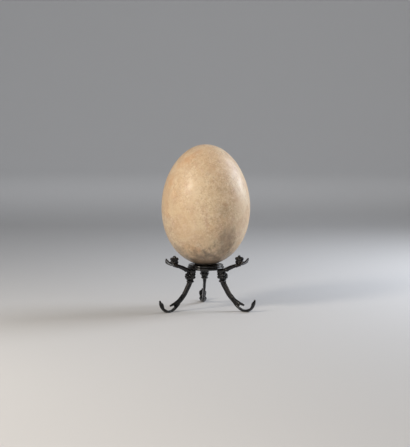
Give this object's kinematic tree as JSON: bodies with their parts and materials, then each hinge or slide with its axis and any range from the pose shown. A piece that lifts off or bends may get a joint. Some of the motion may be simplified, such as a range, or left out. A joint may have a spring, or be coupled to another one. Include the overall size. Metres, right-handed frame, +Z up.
{
  "type": "elephant bird egg",
  "caption": "Whole fossil egg of an elephant bird, standing upright in a blackened bronze stand with scrolled, leaf-footed legs.",
  "frame": {"origin": "on the floor, under the middle of the bounding box", "axes": "+Z up along the egg's length; -Y is the front, between the two front legs; +X is to the viewer's right"},
  "size_m": [0.2388, 0.2474, 0.411],
  "materials": {
    "eggshell": "dull warm beige shell with a soft sheen, fine pores, faint rusty blotches and a greyer patch low on the front",
    "bronze": null
  },
  "bodies": {
    "root": {"egg": "eggshell", "seat_ring": "bronze", "leg_front_right": "bronze", "leg_back": "bronze", "leg_front_left": "bronze", "knee_mount_front_right": "bronze", "knee_mount_back": "bronze", "knee_mount_front_left": "bronze"}
  },
  "joints": []
}
